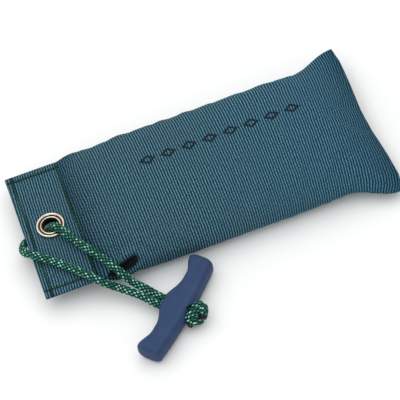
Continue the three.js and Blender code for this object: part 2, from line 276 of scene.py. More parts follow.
# stopper knot: the two ends wound round each other and pulled tight, with their sealed tails standing out
stopper = dict(
    strandA=[(10.4, 3.15, 0), (13.0, 4.6, 2.4), (15.6, 7.0, 3.4), (18.4, 7.2, 2.8), (20.6, 4.8, 2.8),
             (21.8, 1.6, 2.8), (22.2, -1.8, 2.6)],
    strandB=[(10.4, -3.15, 0), (13.0, -4.9, 2.0), (14.6, -2.2, 4.6), (16.6, 1.8, 4.6), (18.2, 4.2, 0.6),
             (18.9, 2.4, -3.4), (19.2, -1.6, -3.2), (18.2, -4.2, -0.2), (15.8, -5.6, -1.2),
             (13.4, -8.2, -3.4)],
    sealed=(1.5, 2.7), endRounding=0.9)
togglePlace = dict(at=(-52.2, -99.4, 8.7), heading=-47.0)
boreTurn = Matrix.Rotation(math.radians(togglePlace["heading"]), 3, "Z")


def fromBore(u, s, z):
    # u runs along the toggle's bore towards the knot, s along its arms, z up from its middle
    moved = boreTurn @ Vector((u, s, z)) + Vector(togglePlace["at"])
    return (moved.x, moved.y, moved.z)


knotParts = []
for label in ("strandA", "strandB"):
    route = cordLine([fromBore(*p) for p in stopper[label]], throwCord["ringEvery"])
    spec = dict(throwCord, sealed=stopper["sealed"])
    knotParts.append(braidedTube(label, route, spec, stopper["endRounding"]))
onlyActive(knotParts[0])
knotParts[1].select_set(True)
bpy.ops.object.join()
knotPiece = knotParts[0]
knotPiece.name = "stopperKnotCord"
dress(knotPiece, cordYarn, "bag")
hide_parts("stopper_knot")
print("knot made")

# bag of ribbed canvas with its flat tab, as one skin whose two panels meet in a sunk seam
bagShape = dict(
    length=280.0, flatWidth=143.0, rise=24.0, drop=24.0, sideSeamHeight=13.5, endSeamHeight=13.0,
    endSeamTilt=4.0, endSeamShares=(-1, -0.93, -0.8, -0.55, -0.2, 0.1, 0.5, 0.8, 1),
    endSeamWave=(-3, 0.2, 1.8, 1, -1.2, -1.6, 0.4, 1.2, 0), closingRowIn=0.7, lowest=0.15,
    endShoulder=42.0, closingShoulder=32.0, roundness=2.2, cornerFlatness=0.55, girthShare=2.75,
    pinchDepth=0.6, pinchRadius=17.0, pinchFromSeam=11.0, pinchFromSide=6.0,
    tabLength=42.0, tabWidth=116.0, tabHeight=15.5, tabSquareness=9.0, halfTab=1.7, hemInset=5.6,
    eyeletFromEdge=22.0, eyeletAcross=1.5, eyeletHole=7.7, seamDepth=0.9,
    tabCells=16, bodyCells=96, widthCells=64, tabSkew=-2.0, bodySkew=0.5, endSkew=-5.5)
edgeX, endX = -bagShape["length"] / 2, bagShape["length"] / 2
closingX = edgeX + bagShape["tabLength"]
closingRowX = closingX - bagShape["closingRowIn"]
hemX, hemY = edgeX + bagShape["hemInset"], bagShape["tabWidth"] / 2 - bagShape["hemInset"]


def fullness(x, across):
    b = bagShape
    late = 1 - b["cornerFlatness"] * across**4

    def rising(share):
        return np.sin(np.pi / 2 * np.clip(share * late, 0, 1))

    return rising((x - closingX) / b["closingShoulder"]) * rising((endX - x) / b["endShoulder"])


def halfWidth(x):
    b = bagShape
    stuffed = np.sqrt((b["flatWidth"] / 2) ** 2 - b["girthShare"] * (b["rise"] * fullness(x, 0 * x)) ** 2)
    opened = smooth(x, closingX, closingX + b["closingShoulder"])
    return b["tabWidth"] / 2 * (1 - opened) + stuffed * opened


def seamHeight(x, across):
    b = bagShape
    opened = smooth(x, closingX, closingX + b["closingShoulder"])
    ended = smooth(x, endX - b["endShoulder"], endX)
    body = b["tabHeight"] + (b["sideSeamHeight"] - b["tabHeight"]) * opened
    return body + (b["endSeamHeight"] + b["endSeamTilt"] * across - body) * ended


def bagPoint(x, across, side):
    b = bagShape
    square = b["tabSquareness"] + (b["roundness"] - b["tabSquareness"]) * smooth(x, closingX, closingX + 20)
    arch = (1 - np.abs(across) ** square) ** (1 / square)
    y = halfWidth(x) * across
    away = np.hypot(x - closingX - b["pinchFromSeam"], y + b["tabWidth"] / 2 - b["pinchFromSide"])
    pinched = 1 - b["pinchDepth"] * np.exp(-((away / b["pinchRadius"]) ** 2))
    loft = np.where(side > 0, b["rise"] * pinched, b["drop"]) * fullness(x, across)
    z = seamHeight(x, across) + side * (b["lowest"] + (b["halfTab"] - b["lowest"] + loft) * arch)
    towardsEnd = smooth(x, endX - b["endShoulder"], endX)
    stands = np.interp(across, b["endSeamShares"], b["endSeamWave"])
    return np.stack([x + stands * towardsEnd, y, np.maximum(z, b["lowest"])], -1)


def makeBagSkin():
    b = bagShape
    columns, rows = b["tabCells"] + b["bodyCells"], b["widthCells"]
    bpy.ops.object.select_all(action="DESELECT")
    bpy.ops.mesh.primitive_grid_add(x_subdivisions=columns, y_subdivisions=rows, size=2)
    skin = bpy.context.object
    skin.name = "canvasBagSkin"
    bpy.ops.object.mode_set(mode="EDIT")
    bpy.ops.mesh.select_all(action="SELECT")
    for _ in range(2):
        bpy.ops.mesh.extrude_region_move(TRANSFORM_OT_translate={"value": (0, 0, 1)})
    bpy.ops.mesh.select_all(action="SELECT")
    bpy.ops.mesh.normals_make_consistent(inside=False)
    bpy.ops.object.mode_set(mode="OBJECT")
    grid = getPoints(skin)
    i = np.rint((grid[:, 0] + 1) / 2 * columns).astype(int)
    j = np.rint((grid[:, 1] + 1) / 2 * rows).astype(int)
    layer = np.rint(grid[:, 2]).astype(int) - 1
    tab = edgeX + b["tabLength"] * np.sin(np.linspace(0, 1, b["tabCells"], endpoint=False) * np.pi / 2 * 0.98)
    body = closingX + (endX - closingX) * (1 - np.cos(np.pi * np.linspace(0, 1, b["bodyCells"] + 1))) / 2
    body = 0.55 * body + 0.45 * np.linspace(closingX, endX, b["bodyCells"] + 1)
    stations = np.concatenate([tab, body])
    across = -np.cos(np.pi * np.arange(rows + 1) / rows)
    x, c = stations[i], across[j]
    placed = bagPoint(x, c, np.where(layer >= 0, 1.0, -1.0))
    seam = layer == 0
    inwards = np.stack([np.where(i == 0, 1, 0) - np.where(i == columns, 1, 0),
                        np.where(j == 0, 1, 0) - np.where(j == rows, 1, 0), 0 * i], 1)
    placed[seam] += b["seamDepth"] * inwards[seam]
    placed[seam, 2] = seamHeight(x, c)[seam]
    # distances over the cloth, for the weave: along the bag, and round each panel from its middle
    arcs = {}
    for side in (1, -1):
        sheet = np.array([bagPoint(s + 0 * across, across, side + 0 * across) for s in stations])
        roundIt = np.concatenate([np.zeros((len(stations), 1)),
                                 np.cumsum(np.linalg.norm(np.diff(sheet, axis=1), axis=2), axis=1)], 1)
        arcs[side] = roundIt - roundIt[:, rows // 2:rows // 2 + 1]
    v = np.where(layer >= 0, arcs[1][i, j], arcs[-1][i, j])
    skewed = (b["tabSkew"] + (b["bodySkew"] - b["tabSkew"]) * smooth(x, closingX - 4, closingX + 14)
              + (b["endSkew"] - b["bodySkew"]) * smooth(x, 0, 110))
    u = x + v * np.tan(np.radians(skewed))
    weave = skin.data.uv_layers.new(name="weave")
    corner = np.empty(len(skin.data.loops), int)
    skin.data.loops.foreach_get("vertex_index", corner)
    weave.data.foreach_set("uv", (np.stack([u, v], 1)[corner] * mm).ravel())
    setPoints(skin, placed * mm)
    for other in list(skin.data.uv_layers):
        if other.name != "weave":
            skin.data.uv_layers.remove(other)
    return skin, placed, i, j, layer


bagSkin, bagRest, gridI, gridJ, gridLayer = makeBagSkin()
print("bag laid out,", len(bagRest), "points")

# the filling presses the cloth outwards against its sewn edges, which leaves soft wrinkles at the seams
pressing = dict(pressure=5.0, slack=-0.035, frames=20, mass=0.2, stretch=12, shear=5, bending=0.15,
                evening=14, wrinkleShare=0.7, most=3.0)


def pressCloth(skin, rest):
    held = skin.vertex_groups.new(name="held")
    x, y = rest[:, 0], rest[:, 1]
    fromSide = halfWidth(x) - np.abs(y)
    firm = (x < closingX + 1.5) | (x > endX - 2.5) | (fromSide < 1.2) | (rest[:, 2] < 2 * bagShape["lowest"])
    for index in np.flatnonzero(firm):
        held.add([int(index)], 1.0, "REPLACE")
    onlyActive(skin)
    cloth = skin.modifiers.new("cloth", "CLOTH")
    settings = cloth.settings
    settings.quality = 5
    settings.mass = pressing["mass"]
    settings.tension_stiffness = settings.compression_stiffness = pressing["stretch"]
    settings.shear_stiffness = pressing["shear"]
    settings.bending_stiffness = pressing["bending"]
    settings.use_pressure = True
    settings.uniform_pressure_force = pressing["pressure"]
    settings.effector_weights.gravity = 0
    settings.vertex_group_mass = "held"
    settings.shrink_min = pressing["slack"]
    cloth.point_cache.frame_start = 1
    cloth.point_cache.frame_end = pressing["frames"]
    for step in range(1, pressing["frames"] + 1):
        bpy.context.scene.frame_set(step)
    moved = skin.evaluated_get(bpy.context.evaluated_depsgraph_get())
    co = np.empty(len(skin.data.vertices) * 3)
    moved.data.vertices.foreach_get("co", co)
    skin.modifiers.remove(cloth)
    skin.vertex_groups.remove(held)
    bpy.context.scene.frame_set(1)
    return co.reshape(-1, 3) / mm


def keepWrinkles(rest, pressed):
    # keeps the short wrinkles of the pressed cloth and drops its even swelling
    columns, rows = gridI.max() + 1, gridJ.max() + 1
    result = rest.copy()
    for side in (1, -1):
        mine = gridLayer == side
        field = np.zeros((columns, rows, 3))
        field[gridI[mine], gridJ[mine]] = (pressed - rest)[mine]
        even = field.copy()
        for _ in range(pressing["evening"]):
            wide = np.pad(even, ((1, 1), (1, 1), (0, 0)), mode="edge")
            around = wide[:-2, 1:-1] + wide[2:, 1:-1] + wide[1:-1, :-2] + wide[1:-1, 2:]
            even = (around + 2 * wide[1:-1, 1:-1]) / 6
        short = np.clip((field - even) * pressing["wrinkleShare"], -pressing["most"], pressing["most"])
        result[mine] += short[gridI[mine], gridJ[mine]]
        most = np.abs(field).max(), np.abs(short).max()
        print("cloth side", side, "swelling %.2f mm, wrinkles %.2f mm" % most)
    result[:, 2] = np.maximum(result[:, 2], bagShape["lowest"])
    return result


pressed = pressCloth(bagSkin, bagRest)
setPoints(bagSkin, keepWrinkles(bagRest, pressed) * mm)
applyModifier(bagSkin, "SUBSURF", levels=1, render_levels=1)

# small shapes on the cloth in mm: how far each goes in or out, and how wide it is
bagDetail = dict(
    stitchSink=0.45, stitchWidth=1.3, hemPuff=0.35, closingPucker=0.8, endPucker=0.25, puckerReach=9.0,
    sidePucker=0.2, sideReach=6.0, lumps=0.28, lumpSize=26.0, dents=0.12, dentSize=9.0,
    dimpleAt=(-84.4, 52.0), dimpleDepth=2.6, dimpleRadius=8.5, foldFrom=(-90.5, -59.5), foldTo=(-66.0, -54.5),
    foldDepth=2.6, foldWidth=2.9, foldLip=2.4, lipWidth=3.0, lipReaches=((5.4, 1.0), (-5.0, 0.5)),
    closingShade=14.0, endShade=16.0)


def bell(away, width):
    return np.exp(-((away / width) ** 2))


def lineDistance(x, y, start, end):
    a, b = np.array(start), np.array(end)
    along = ((x - a[0]) * (b - a)[0] + (y - a[1]) * (b - a)[1]) / ((b - a) ** 2).sum()
    near = np.clip(along, 0, 1)
    return np.hypot(x - a[0] - near * (b - a)[0], y - a[1] - near * (b - a)[1]), along


def detailCloth(skin):
    d, b = bagDetail, bagShape
    p = getPoints(skin) / mm
    normal = np.empty(len(p) * 3)
    skin.data.vertices.foreach_get("normal", normal)
    normal = normal.reshape(-1, 3)
    x, y, z = p.T
    top = normal[:, 2] > 0
    out = np.zeros(len(p))
    onTab = smooth(x, closingX + 1, closingX - 1)
    flat = smooth(np.abs(normal[:, 2]), 0.5, 0.9)
    halfTabWidth = b["tabWidth"] / 2
    # sewn rows sink into the cloth, and the folded hem outside them stands up
    for away, inside in ((np.abs(x - hemX), np.abs(y) < hemY + 1),
                         (np.abs(np.abs(y) - hemY), (x > hemX - 1) & (x < closingX)),
                         (np.abs(x - closingRowX), np.abs(y) < halfTabWidth)):
        out -= d["stitchSink"] * bell(away, d["stitchWidth"]) * inside * flat
    hem = np.clip(np.minimum(x - edgeX, halfTabWidth - np.abs(y)) / b["hemInset"], 0, 1)
    out += d["hemPuff"] * np.sin(np.pi * hem) * onTab * flat
    # gathers beside the seams
    past, left = np.clip(x - closingX, 0, None), endX - x
    gathers = noiseAt(np.stack([0.25 * x, y, 0 * x], 1), 5.5, 1)
    out += d["closingPucker"] * np.exp(-past / d["puckerReach"]) * smooth(x, closingX, closingX + 4) * gathers
    gathers = noiseAt(np.stack([0.25 * x, y, z], 1), 6.0, 2)
    out += d["endPucker"] * np.exp(-left / d["puckerReach"]) * smooth(left, 0, 3) * gathers
    gathers = noiseAt(np.stack([x, 0 * y, 3 * np.sign(y)], 1), 6.5, 3)
    fromSide = np.clip(halfWidth(np.clip(x, edgeX, endX)) - np.abs(y), 0, None)
    out += d["sidePucker"] * np.exp(-fromSide / d["sideReach"]) * (1 - onTab) * gathers
    # the filling shows through as low lumps
    lumps, dents = noiseAt(p, d["lumpSize"], 4), noiseAt(p, d["dentSize"], 5)
    out += (d["lumps"] * lumps + d["dents"] * dents) * (1 - onTab)
    dimple = np.hypot(x - d["dimpleAt"][0], (y - d["dimpleAt"][1]) * 0.8)
    out -= d["dimpleDepth"] * bell(dimple, d["dimpleRadius"]) * top
    # one deep fold beside the closing seam, with a raised lip on each side
    away, along = lineDistance(x, y, d["foldFrom"], d["foldTo"])
    taper = np.sin(np.pi * np.clip(along * 0.9 + 0.05, 0, 1)) ** 0.6
    inFold = bell(away, d["foldWidth"]) * taper * top
    out -= d["foldDepth"] * inFold
    for reach, lift in d["lipReaches"]:
        lipAway = lineDistance(x, y - reach, d["foldFrom"], d["foldTo"])[0]
        out += lift * d["foldLip"] * bell(lipAway, d["lipWidth"]) * taper * top
    # painted shade: the cloth is coloured darker beside the closing seam and the end seam, and near black
    # down in the fold
    seamShade = np.exp(-past / d["closingShade"]) * (1 - onTab) + 1.1 * np.exp(-left / d["endShade"])
    for label, values in (("creaseShade", inFold), ("seamShade", np.clip(seamShade, 0, 1))):
        skin.data.attributes.new(label, "FLOAT", "POINT").data.foreach_set("value", values)
    moved = p + normal * out[:, None]
    moved[:, 2] = np.maximum(moved[:, 2], 0.8 * b["lowest"])
    setPoints(skin, moved * mm)


detailCloth(bagSkin)


def cutHole(obj, centre, radius, depth):
    bpy.ops.object.select_all(action="DESELECT")
    place = [v * mm for v in centre]
    bpy.ops.mesh.primitive_cylinder_add(vertices=64, radius=radius * mm, depth=depth * mm, location=place)
    tool = bpy.context.object
    applyModifier(obj, "BOOLEAN", object=tool, operation="DIFFERENCE", solver="EXACT")
    bpy.data.objects.remove(tool)


eyeletCentre = (edgeX + bagShape["eyeletFromEdge"], bagShape["eyeletAcross"], bagShape["tabHeight"])
cutHole(bagSkin, eyeletCentre, bagShape["eyeletHole"], 12)


# cotton canvas, ribbed in the loom and dyed teal: matt, with painted highlights on the rib crowns and painted
# shade in the gaps between them, painted shade beside the seams, along the sewn rows and in the fold, and
# printed with a plain band of lozenges
canvasLook = dict(
    ribPitch=2.05, dashPitch=2.9, dashDepth=0.24, speckScale=620.0, speckShare=1.1, gap="0a202c",
    mean="254a5b", crown="6b9dab", worn="35525c", bluer=(0.84, 1.06, 1.16, 1), shade=(0.4, 0.56, 0.62, 1),
    rowShade="02140f", ink="0a1119", creaseShade="020406", bandMiddle=(26.0, 13.5), bandHalf=(67.0, 4.8),
    lozenge=16.75, lozengeHalf=7.0, outlineAt=0.72, outlineHalf=0.26, underside=15.0)


def ribbedCanvas():
    c = canvasLook
    material, tree, shader = newMaterial("ribbedCottonCanvas")
    weave = addNode(tree, "ShaderNodeUVMap", {"uv_map": "weave"})
    place = addNode(tree, placeNode, out="Object")
    values = {}
    # a wave's phase grows by 20 for each unit of x, and on the diagonal by 10 for each unit of x + y + z
    for name, way, turns in (("rib", "X", 20), ("dash", "DIAGONAL", 10)):
        scale = 2 * math.pi / turns / (c[name + "Pitch"] * mm)
        wave = {"Vector": weave, "Scale": scale, "Distortion": 1.6, "Detail": 2.0, "Detail Scale": 0.9}
        values[name] = addNode(tree, "ShaderNodeTexWave", {"bands_direction": way}, wave, "Fac")
    speck = {"Vector": weave, "Scale": c["speckScale"], "Detail": 3.0, "Roughness": 0.7}
    values["speck"] = addNode(tree, noiseNode, None, speck)
    values["broad"] = addNode(tree, noiseNode, None, {"Vector": place, "Scale": 22.0, "Detail": 3.0})
    for index, name in enumerate("xyz"):
        values[name] = addNode(tree, partsNode, None, {0: place}, index)
        values[name] = addNode(tree, mathNode, {"operation": "MULTIPLY"}, {0: values[name], 1: 1000.0})
    for name in ("creaseShade", "seamShade"):
        values[name] = addNode(tree, attributeNode, {"attribute_name": name}, out="Fac")
    steps = (
        # ribs with shallow dashes along them and a fine irregular speck
        ("dash", "MULTIPLY", "dash", c["dashDepth"]), ("dash", "ADD", "dash", 1 - c["dashDepth"]),
        ("lit", "MULTIPLY", "rib", "dash"), ("speck", "SUBTRACT", "speck", 0.5),
        ("speck", "MULTIPLY", "speck", c["speckShare"]), ("lit", "ADD", "lit", "speck"),
        # how far the nearest sewn row is
        ("row", "SUBTRACT", "x", closingRowX), ("row", "ABSOLUTE", "row", 0.0),
        ("hem", "SUBTRACT", "x", hemX), ("hem", "ABSOLUTE", "hem", 0.0), ("row", "MINIMUM", "row", "hem"),
        ("edge", "ABSOLUTE", "y", 0.0), ("edge", "SUBTRACT", "edge", hemY), ("edge", "ABSOLUTE", "edge", 0.0),
        ("past", "SUBTRACT", "x", closingX), ("edge", "MAXIMUM", "edge", "past"),
        ("row", "MINIMUM", "row", "edge"),
        # outlines of the lozenges, on the upper side only
        ("bandX", "SUBTRACT", "x", c["bandMiddle"][0]), ("cell", "DIVIDE", "bandX", c["lozenge"]),
        ("cell", "FRACT", "cell", 0.0), ("cell", "SUBTRACT", "cell", 0.5), ("cell", "ABSOLUTE", "cell", 0.0),
        ("cell", "MULTIPLY", "cell", c["lozenge"] / c["lozengeHalf"]),
        ("high", "SUBTRACT", "y", c["bandMiddle"][1]), ("high", "ABSOLUTE", "high", 0.0),
        ("high", "DIVIDE", "high", c["bandHalf"][1]), ("away", "ADD", "cell", "high"),
        ("away", "SUBTRACT", "away", c["outlineAt"]), ("away", "ABSOLUTE", "away", 0.0),
        ("ink", "LESS_THAN", "away", c["outlineHalf"]),
        ("bandX", "ABSOLUTE", "bandX", 0.0), ("bandX", "LESS_THAN", "bandX", c["bandHalf"][0]),
        ("ink", "MULTIPLY", "ink", "bandX"), ("top", "GREATER_THAN", "z", c["underside"]),
        ("ink", "MULTIPLY", "ink", "top"))
    for name, operation, first, second in steps:
        values[name] = addNode(tree, mathNode, {"operation": operation},
                               {0: values.get(first, first), 1: values.get(second, second)})
    colour = srgb(c["gap"])
    # colours in turn: painted shade in the rib gaps under painted highlights on the crowns, a random paler
    # tone, a bluer tint towards the end, painted shade beside the seams and along the sewn rows, the printed
    # lozenges, and painted shade in the fold
    stages = (
        ("lit", 0.05, 0.5, 1.0, "MIX", srgb(c["mean"])), ("lit", 0.5, 1.0, 0.85, "MIX", srgb(c["crown"])),
        ("broad", 0.4, 0.7, 0.2, "MIX", srgb(c["worn"])), ("x", -20.0, 120.0, 1.0, "MULTIPLY", c["bluer"]),
        ("seamShade", 0.05, 1.0, 1.0, "MULTIPLY", c["shade"]),
        ("row", 1.3, 0.5, 0.85, "MIX", srgb(c["rowShade"])), ("ink", 0.0, 1.0, 0.85, "MIX", srgb(c["ink"])),
        ("creaseShade", 0.1, 0.4, 0.98, "MIX", srgb(c["creaseShade"])))
    for name, low, high, most, blend, other in stages:
        share = addNode(tree, rangeNode, None, {0: values[name], 1: low, 2: high, 4: most})
        mix = {"data_type": "RGBA", "blend_type": blend}
        colour = addNode(tree, mixNode, mix, {0: share, 6: colour, 7: other}, 2)
    tree.links.new(colour, shader.inputs["Base Color"])
    shader.inputs["Roughness"].default_value = 0.92
    shader.inputs["Specular IOR Level"].default_value = 0.2
    bump = addNode(tree, bumpNode, None, {"Strength": 0.9, "Distance": 0.00045, "Height": values["lit"]})
    tree.links.new(bump, shader.inputs["Normal"])
    return material


canvas = ribbedCanvas()
dress(bagSkin, canvas, "bag")
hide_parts("top_canvas_panel", "bottom_canvas_panel")
print("bag made,", len(bagSkin.data.polygons), "faces")

# rows of stitching, one short thread loop per stitch
stitching = dict(pitch=3.1, length=2.6, thick=0.95, droop=0.25, sunk=0.02, sway=0.12, tilt=0.16,
                 fromTabEdge=2.0, fromRow=2.2)


# one look for every finely mottled surface: two shades of the same stuff mixed by a fine grain, which also
# gives it a fine relief
def grainedSurface(name, code, light, grainScale, roughness, depth):
    material, tree, shader = newMaterial(name)
    place = addNode(tree, placeNode, out="Object")
    grain = addNode(tree, noiseNode, None, {"Vector": place, "Scale": grainScale, "Detail": 3.0})
    share = addNode(tree, rangeNode, None, {0: grain, 1: 0.35, 2: 0.65})
    colour = addNode(tree, mixNode, {"data_type": "RGBA"}, {0: share, 6: srgb(code), 7: srgb(light)}, 2)
    tree.links.new(colour, shader.inputs["Base Color"])
    shader.inputs["Roughness"].default_value = roughness
    bump = addNode(tree, bumpNode, None, {"Strength": 0.5, "Distance": depth, "Height": grain})
    tree.links.new(bump, shader.inputs["Normal"])
    return material


# polyester sewing thread, twisted and dyed dark green, with a faint shine
greenThread = grainedSurface("twistedPolyesterThread", "02241a", "10583c", 1800.0, 0.55, 0.0001)


def stitchRow(name, start, end, side, node, seed):
    s = stitching
    span = math.dist(start, end)
    count = max(2, round(span / s["pitch"]))
    bpy.ops.object.select_all(action="DESELECT")
    bpy.ops.mesh.primitive_uv_sphere_add(segments=10, ring_count=8, radius=1)
    row = bpy.context.object
    row.name = name
    bpy.ops.object.mode_set(mode="EDIT")
    bpy.ops.mesh.select_all(action="SELECT")
    bpy.ops.transform.rotate(value=math.pi / 2, orient_axis="Y", center_override=(0, 0, 0))
    bpy.ops.object.mode_set(mode="OBJECT")
    p = getPoints(row)
    p[:, 0] = np.sign(p[:, 0]) * np.abs(p[:, 0]) ** 0.8 * s["length"] / 2
    p[:, 1:] *= s["thick"] / 2
    p[:, 2] -= s["droop"] * (p[:, 0] / (s["length"] / 2)) ** 4
    setPoints(row, p)
    size = len(p)
    applyModifier(row, "ARRAY", count=count, use_relative_offset=False, use_constant_offset=True,
                  constant_offset_displace=(span / count, 0, 0))
    p = getPoints(row).reshape(count, size, 3)
    for k in range(count):
        middle = span / count * k
        sway = s["sway"] * noise.noise(Vector((k * 1.7, seed, 0)))
        tilt = s["tilt"] * noise.noise(Vector((k * 2.3, seed + 5, 0)))
        p[k, :, 1] += sway + (p[k, :, 0] - middle) * tilt
    p = p.reshape(-1, 3)
    p[:, 0] += span / count / 2
    direction = (np.array(end) - start) / span
    z = bagShape["tabHeight"] + side * (bagShape["halfTab"] + s["sunk"] + p[:, 2])
    flat = np.stack([start[0] + direction[0] * p[:, 0] - direction[1] * p[:, 1],
                     start[1] + direction[1] * p[:, 0] + direction[0] * p[:, 1]], 1)
    setPoints(row, np.column_stack([flat, z]) * mm)
    if side < 0:
        onlyActive(row)
        bpy.ops.object.mode_set(mode="EDIT")
        bpy.ops.mesh.select_all(action="SELECT")
        bpy.ops.mesh.flip_normals()
        bpy.ops.object.mode_set(mode="OBJECT")
    dress(row, greenThread, "bag")
    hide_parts(node)


tabSide = bagShape["tabWidth"] / 2 - stitching["fromTabEdge"]
sideFrom, sideTo = hemX + stitching["fromRow"], closingRowX - stitching["fromRow"]
stitchRows = {
    "closing_seam": ((closingRowX, -tabSide), (closingRowX, tabSide)),
    "mouth_hem": ((hemX, -hemY), (hemX, hemY)),
    "tab_near_edge": ((sideFrom, -hemY), (sideTo, -hemY)),
    "tab_far_edge": ((sideFrom, hemY), (sideTo, hemY)),
}
for seed, (place, (start, end)) in enumerate(stitchRows.items()):
    words = place.split("_")
    label = words[0] + "".join(w.title() for w in words[1:])
    stitchRow(label + "TopStitches", start, end, 1, place + "_needle_thread", seed)
    stitchRow(label + "UnderStitches", start, end, -1, place + "_bobbin_thread", seed + 10)
print("stitching made")

# rolled brass eyelet in shiny nickel plate, with painted dark reflections and shade below its crowns, in its
# groove and down its barrel
eyelet = dict(
    bore=6.7, wall=0.7, flange=11.3, crown=1.9, rim=9.1, groove=0.9, lip=1.4, clinch=2.2, washer=1.0,
    seatGap=0.3, clinchGap=0.3, steps=96, plate="e6dccf", rubbed="cbb391", darkReflection="1a100c",
    darkReflectionFrom=0.7, darkReflectionTo=1.4)


def platedBrass():
    e = eyelet
    material, tree, shader = newMaterial("nickelPlatedBrass")
    place = addNode(tree, placeNode, out="Object")
    rub = addNode(tree, noiseNode, None, {"Vector": place, "Scale": 260.0, "Detail": 4.0})
    height = addNode(tree, partsNode, None, {0: place}, 2)
    # painted dark reflections and shade: everything a little below the crowns turns near black brown
    crownAt = bagShape["tabHeight"] + bagShape["halfTab"] + e["crown"]
    darkReflection = [(crownAt - e[k]) * mm for k in ("darkReflectionFrom", "darkReflectionTo")]
    colour = srgb(e["plate"])
    stages = ((rub, 0.4, 0.7, 0.7, e["rubbed"]), (height, *darkReflection, 0.95, e["darkReflection"]))
    for share, start, end, most, code in stages:
        share = addNode(tree, rangeNode, None, {0: share, 1: start, 2: end, 4: most})
        colour = addNode(tree, mixNode, {"data_type": "RGBA"}, {0: share, 6: colour, 7: srgb(code)}, 2)
    tree.links.new(colour, shader.inputs["Base Color"])
    shader.inputs["Metallic"].default_value = 1.0
    roughness = addNode(tree, rangeNode, None, {0: rub, 1: 0.3, 2: 0.7, 3: 0.12, 4: 0.26})
    tree.links.new(roughness, shader.inputs["Roughness"])
    bump = addNode(tree, bumpNode, None, {"Strength": 0.25, "Distance": 0.00005, "Height": rub})
    tree.links.new(bump, shader.inputs["Normal"])
    return material


def turnProfile(name, profile, centre, steps):
    # draws the closed outline by extruding one point along it, then spins it about the upright axis
    bpy.ops.object.select_all(action="DESELECT")
    bpy.ops.mesh.primitive_plane_add(size=1)
    ring = bpy.context.object
    ring.name = name
    bpy.ops.object.mode_set(mode="EDIT")
    bpy.ops.mesh.select_all(action="SELECT")
    bpy.ops.mesh.merge(type="CENTER")
    bpy.ops.transform.translate(value=(profile[0][0] * mm, 0, profile[0][1] * mm))
    for (r0, z0), (r1, z1) in zip(profile, profile[1:]):
        move = ((r1 - r0) * mm, 0, (z1 - z0) * mm)
        bpy.ops.mesh.extrude_region_move(TRANSFORM_OT_translate={"value": move})
    bpy.ops.mesh.select_all(action="SELECT")
    bpy.ops.mesh.remove_doubles(threshold=1e-6)
    bpy.ops.mesh.select_all(action="SELECT")
    bpy.ops.mesh.edge_face_add()
    bpy.ops.mesh.delete(type="ONLY_FACE")
    bpy.ops.mesh.select_all(action="SELECT")
    bpy.ops.mesh.spin(steps=steps, angle=2 * math.pi, center=(0, 0, 0), axis=(0, 0, 1))
    bpy.ops.mesh.select_all(action="SELECT")
    bpy.ops.mesh.remove_doubles(threshold=1e-6)
    bpy.ops.mesh.normals_make_consistent(inside=False)
    bpy.ops.object.mode_set(mode="OBJECT")
    setPoints(ring, getPoints(ring) + np.array(centre) * mm)
    return ring


def ringOutlines():
    # radius and height of each point: two rolls on top, then the barrel and its clinched lip underneath
    e = eyelet
    seat = bagShape["halfTab"] + e["seatGap"]
    barrel = e["bore"] + e["wall"]
    washerLow = -(seat + e["washer"])
    rolls = []
    for inner, outer, crown in ((e["bore"], e["rim"] - e["groove"], e["lip"]),
                                (e["rim"], e["flange"], e["crown"])):
        middle, half = (inner + outer) / 2, (outer - inner) / 2
        for a in np.linspace(0, math.pi, 15):
            rolls.append((middle - half * math.cos(a), seat + 0.1 + crown * math.sin(a)))
    low = washerLow - e["clinchGap"]
    clinched = barrel + e["clinch"]
    sleeve = [(e["flange"] - 0.6, seat - 0.1), (barrel, seat - 0.1), (barrel, low)]
    lip = [(clinched - 0.2, low), (clinched, low - 0.15), (clinched - 0.3, low - 0.5),
           (barrel + 0.6, low - 0.72), (e["bore"] + 0.5, low - 0.62), (e["bore"] + 0.1, low - 0.3)]
    grommet = [(e["bore"], seat - 0.6)] + rolls + sleeve + lip
    washer = [(barrel + 0.3, -seat), (e["flange"] - 0.4, -seat), (e["flange"] - 0.05, -seat - 0.25),
              (e["flange"], -seat - 0.5), (e["flange"] - 0.15, -seat - 0.8), (e["flange"] - 0.5, washerLow),
              (barrel + 0.3, washerLow)]
    return grommet, washer


brass = platedBrass()
for name, outline, node in zip(("eyeletRolledFlange", "eyeletClinchWasher"), ringOutlines(),
                               ("eyelet_grommet", "eyelet_washer")):
    ring = turnProfile(name, outline, eyeletCentre, eyelet["steps"])
    dress(ring, brass, "bag", smoothShade=False)
    bpy.ops.object.shade_smooth_by_angle(angle=math.radians(40))
    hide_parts(node)
print("eyelet made")

# moulded toggle: a bowed bar with a swollen hub that the doubled cord passes through
toggle = dict(
    length=87.0, thickness=17.4, cordSide=5.9, hubBump=6.1, hubSpread=21.0, endFlare=4.6, flareStart=27.0,
    farSide=11.4, bow=2.6, squareness=3.0, endRadius=3.4, bore=6.8, boreEdge=0.6, rings=84, around=72,
    crowding=0.35, chamferAt=0.82, chamferWidth=0.05, plastic="273b5e", mottle="2e4465", worn="4c5680",
    fleck="3b4d70")


